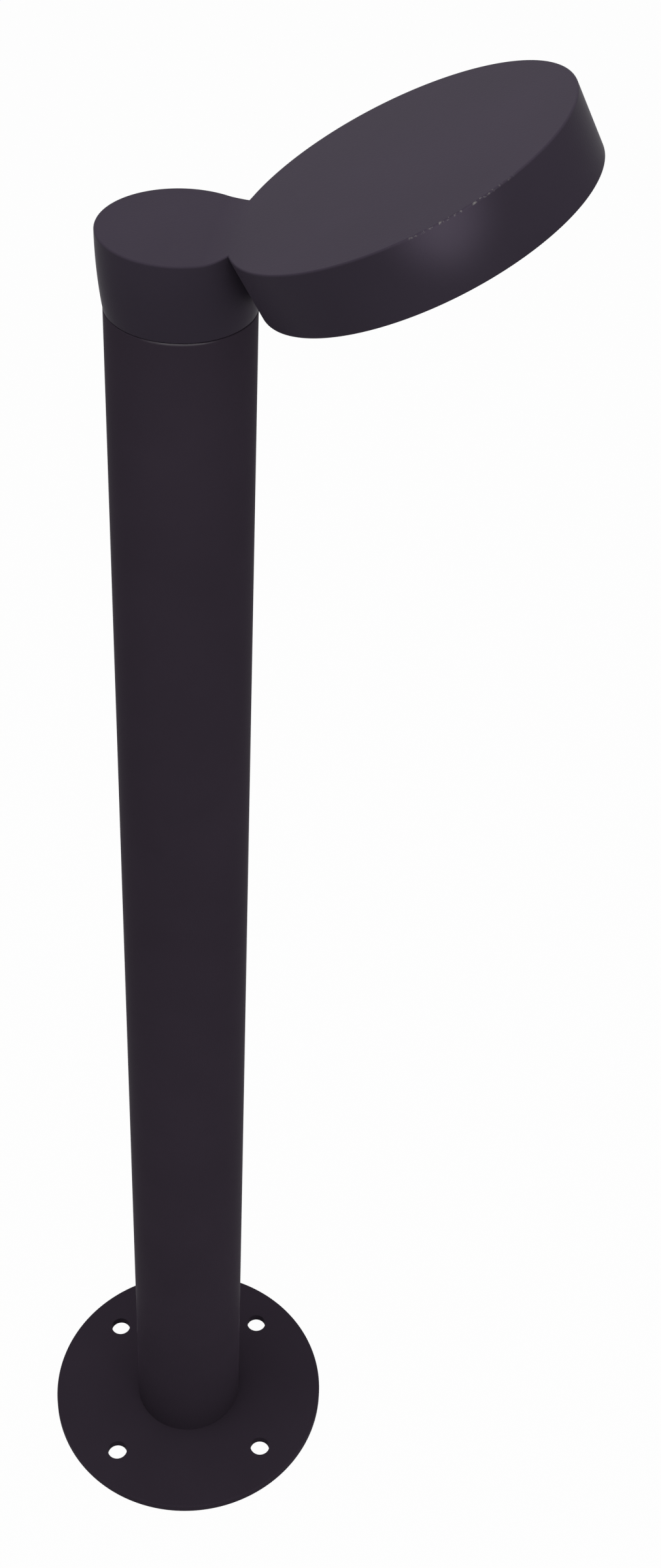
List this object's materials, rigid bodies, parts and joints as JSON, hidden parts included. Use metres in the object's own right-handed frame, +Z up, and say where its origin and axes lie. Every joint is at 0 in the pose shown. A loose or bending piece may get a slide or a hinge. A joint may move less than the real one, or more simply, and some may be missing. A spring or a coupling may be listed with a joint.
{
  "type": "bollard light",
  "caption": "Round path light bollard: base plate, post and a cast head whose cap carries a disc tilted up, with the lamp in the disc's underside.",
  "frame": {"origin": "on the post's axis at the underside of the base plate, the centre of the anchor holes' circle", "axes": "+Z up along the post, +X from the post towards the head's disc"},
  "size_m": [0.2946, 0.2, 1.0618],
  "materials": {
    "coated_plate": "fine-textured anthracite powder coat on aluminium, satin",
    "coated_post": "fine-textured anthracite powder coat on an aluminium extrusion, satin",
    "coated_casting": "fine-textured anthracite powder coat on die-cast aluminium, satin",
    "cast_aluminium": "bare die-cast aluminium, matt",
    "tray_sheet": "bare rolled aluminium sheet",
    "stainless_screws": "plain stainless steel",
    "seal_rubber": "matt black silicone rubber",
    "driver_case": "moulded plastic, off-white",
    "connector_plastic": "moulded black plastic",
    "white_plastic": "moulded white plastic",
    "lead_sheath": "smooth sheath of a flexible lead",
    "board_white": "white solder mask",
    "lamp_phosphor": "phosphor of lamp packages",
    "reflector_white": "matt white reflector",
    "opal_diffuser": "opal acrylic, satin"
  },
  "bodies": {
    "root": {"base_plate": "coated_plate", "base_screws": "stainless_screws", "post_tube": "coated_post", "post_adapter": "cast_aluminium", "adapter_screws": "stainless_screws", "neck_seal": "seal_rubber", "head_housing": "coated_casting", "head_grub_screws": "stainless_screws", "lead_grommet": "seal_rubber", "gear_tray": "tray_sheet", "tray_screws": "stainless_screws", "led_driver": "driver_case", "driver_screws": "stainless_screws", "supply_connector": "connector_plastic", "connector_nuts": "connector_plastic", "connector_clip": "white_plastic", "clip_screws": "stainless_screws", "driver_input_lead": "lead_sheath", "driver_output_lead": "lead_sheath", "led_board": "board_white", "led_packages": "lamp_phosphor", "board_terminal": "white_plastic", "board_screws": "stainless_screws", "reflector": "reflector_white", "diffuser": "opal_diffuser", "diffuser_gasket": "seal_rubber", "bezel_ring": "coated_casting", "bezel_screws": "stainless_screws"}
  },
  "joints": []
}
